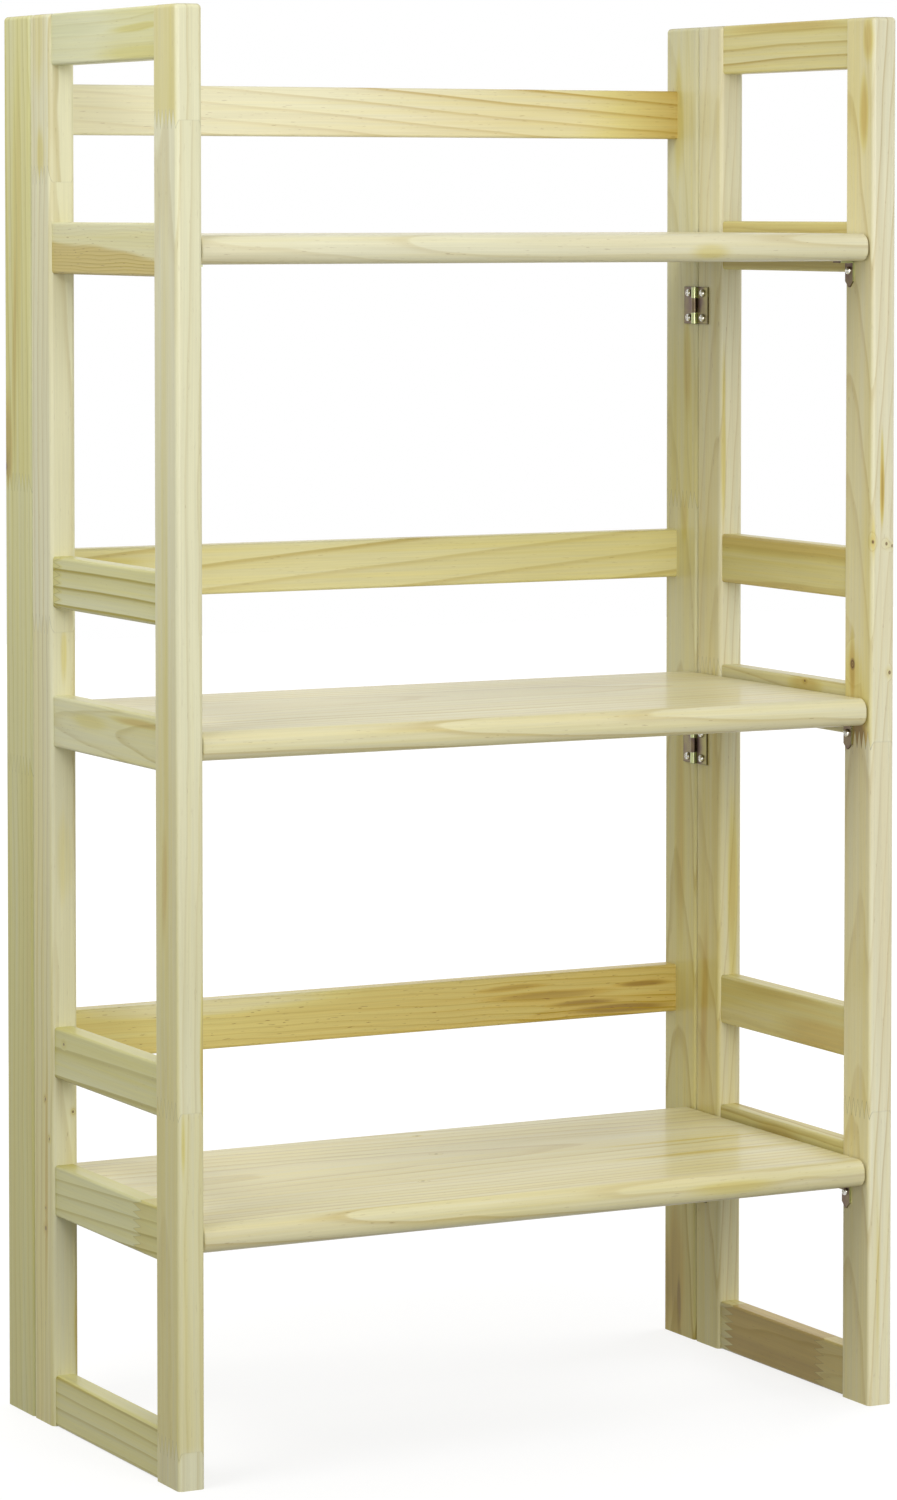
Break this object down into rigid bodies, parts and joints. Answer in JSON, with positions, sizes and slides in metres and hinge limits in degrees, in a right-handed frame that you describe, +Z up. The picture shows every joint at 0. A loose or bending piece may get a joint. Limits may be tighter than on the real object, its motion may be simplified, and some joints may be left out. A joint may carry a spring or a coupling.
{
  "type": "folding bookcase",
  "caption": "Folding pine bookcase: a slatted back frame with hinged ladder side frames and solid shelves that pivot up against the back.",
  "frame": {"origin": "on the floor under the middle of the set-up bookcase", "axes": "+Z up, -Y towards the open front, +X to the right as seen from the front"},
  "size_m": [0.546, 0.286, 0.965],
  "materials": {
    "clear_finished_pine": "solid pine, finger-jointed, clear satin lacquer",
    "beech_dowel": "plain hardwood dowel, hidden in the joints",
    "yellow_zinc_steel": "thin sheet steel, yellow zinc plated",
    "bright_zinc_screws": "bright zinc plated steel",
    "steel_pins": "plain bright steel"
  },
  "bodies": {
    "root": {"back_stile_left": "clear_finished_pine", "back_stile_right": "clear_finished_pine", "left_front_stile": "clear_finished_pine", "left_rear_stile": "clear_finished_pine", "left_bottom_rail": "clear_finished_pine", "left_bottom_shelf_rail": "clear_finished_pine", "left_lower_rail": "clear_finished_pine", "left_middle_shelf_rail": "clear_finished_pine", "left_upper_rail": "clear_finished_pine", "left_top_shelf_rail": "clear_finished_pine", "left_top_rail": "clear_finished_pine", "left_frame_dowels": "beech_dowel", "right_front_stile": "clear_finished_pine", "right_rear_stile": "clear_finished_pine", "right_bottom_rail": "clear_finished_pine", "right_bottom_shelf_rail": "clear_finished_pine", "right_lower_rail": "clear_finished_pine", "right_middle_shelf_rail": "clear_finished_pine", "right_upper_rail": "clear_finished_pine", "right_top_shelf_rail": "clear_finished_pine", "right_top_rail": "clear_finished_pine", "right_frame_dowels": "beech_dowel", "back_slat_bottom": "clear_finished_pine", "back_slat_middle": "clear_finished_pine", "back_slat_top": "clear_finished_pine", "back_frame_dowels": "beech_dowel", "left_hinge_bottom_back_leaf": "yellow_zinc_steel", "left_hinge_bottom_frame_leaf": "yellow_zinc_steel", "left_hinge_bottom_pin": "steel_pins", "left_bracket_bottom": "yellow_zinc_steel", "left_hinge_middle_back_leaf": "yellow_zinc_steel", "left_hinge_middle_frame_leaf": "yellow_zinc_steel", "left_hinge_middle_pin": "steel_pins", "left_bracket_middle": "yellow_zinc_steel", "left_hinge_top_back_leaf": "yellow_zinc_steel", "left_hinge_top_frame_leaf": "yellow_zinc_steel", "left_hinge_top_pin": "steel_pins", "left_bracket_top": "yellow_zinc_steel", "right_hinge_bottom_back_leaf": "yellow_zinc_steel", "right_hinge_bottom_frame_leaf": "yellow_zinc_steel", "right_hinge_bottom_pin": "steel_pins", "right_bracket_bottom": "yellow_zinc_steel", "right_hinge_middle_back_leaf": "yellow_zinc_steel", "right_hinge_middle_frame_leaf": "yellow_zinc_steel", "right_hinge_middle_pin": "steel_pins", "right_bracket_middle": "yellow_zinc_steel", "right_hinge_top_back_leaf": "yellow_zinc_steel", "right_hinge_top_frame_leaf": "yellow_zinc_steel", "right_hinge_top_pin": "steel_pins", "right_bracket_top": "yellow_zinc_steel", "hinge_screws": "bright_zinc_screws", "bracket_screws": "bright_zinc_screws"},
    "bottom_shelf": {"shelf_bottom": "clear_finished_pine", "pivot_pins_bottom": "steel_pins"},
    "middle_shelf": {"shelf_middle": "clear_finished_pine", "pivot_pins_middle": "steel_pins"},
    "top_shelf": {"shelf_top": "clear_finished_pine", "pivot_pins_top": "steel_pins"}
  },
  "joints": [
    {"name": "bottom_shelf_pivot", "type": "hinge", "parent": "root", "child": "bottom_shelf", "pos_m": [0, 0.1055, 0.1625], "axis": [-1, 0, 0], "range_deg": [0, 95]},
    {"name": "middle_shelf_pivot", "type": "hinge", "parent": "root", "child": "middle_shelf", "pos_m": [0, 0.1055, 0.4845], "axis": [-1, 0, 0], "range_deg": [0, 95]},
    {"name": "top_shelf_pivot", "type": "hinge", "parent": "root", "child": "top_shelf", "pos_m": [0, 0.1055, 0.8065], "axis": [-1, 0, 0], "range_deg": [0, 95]}
  ]
}
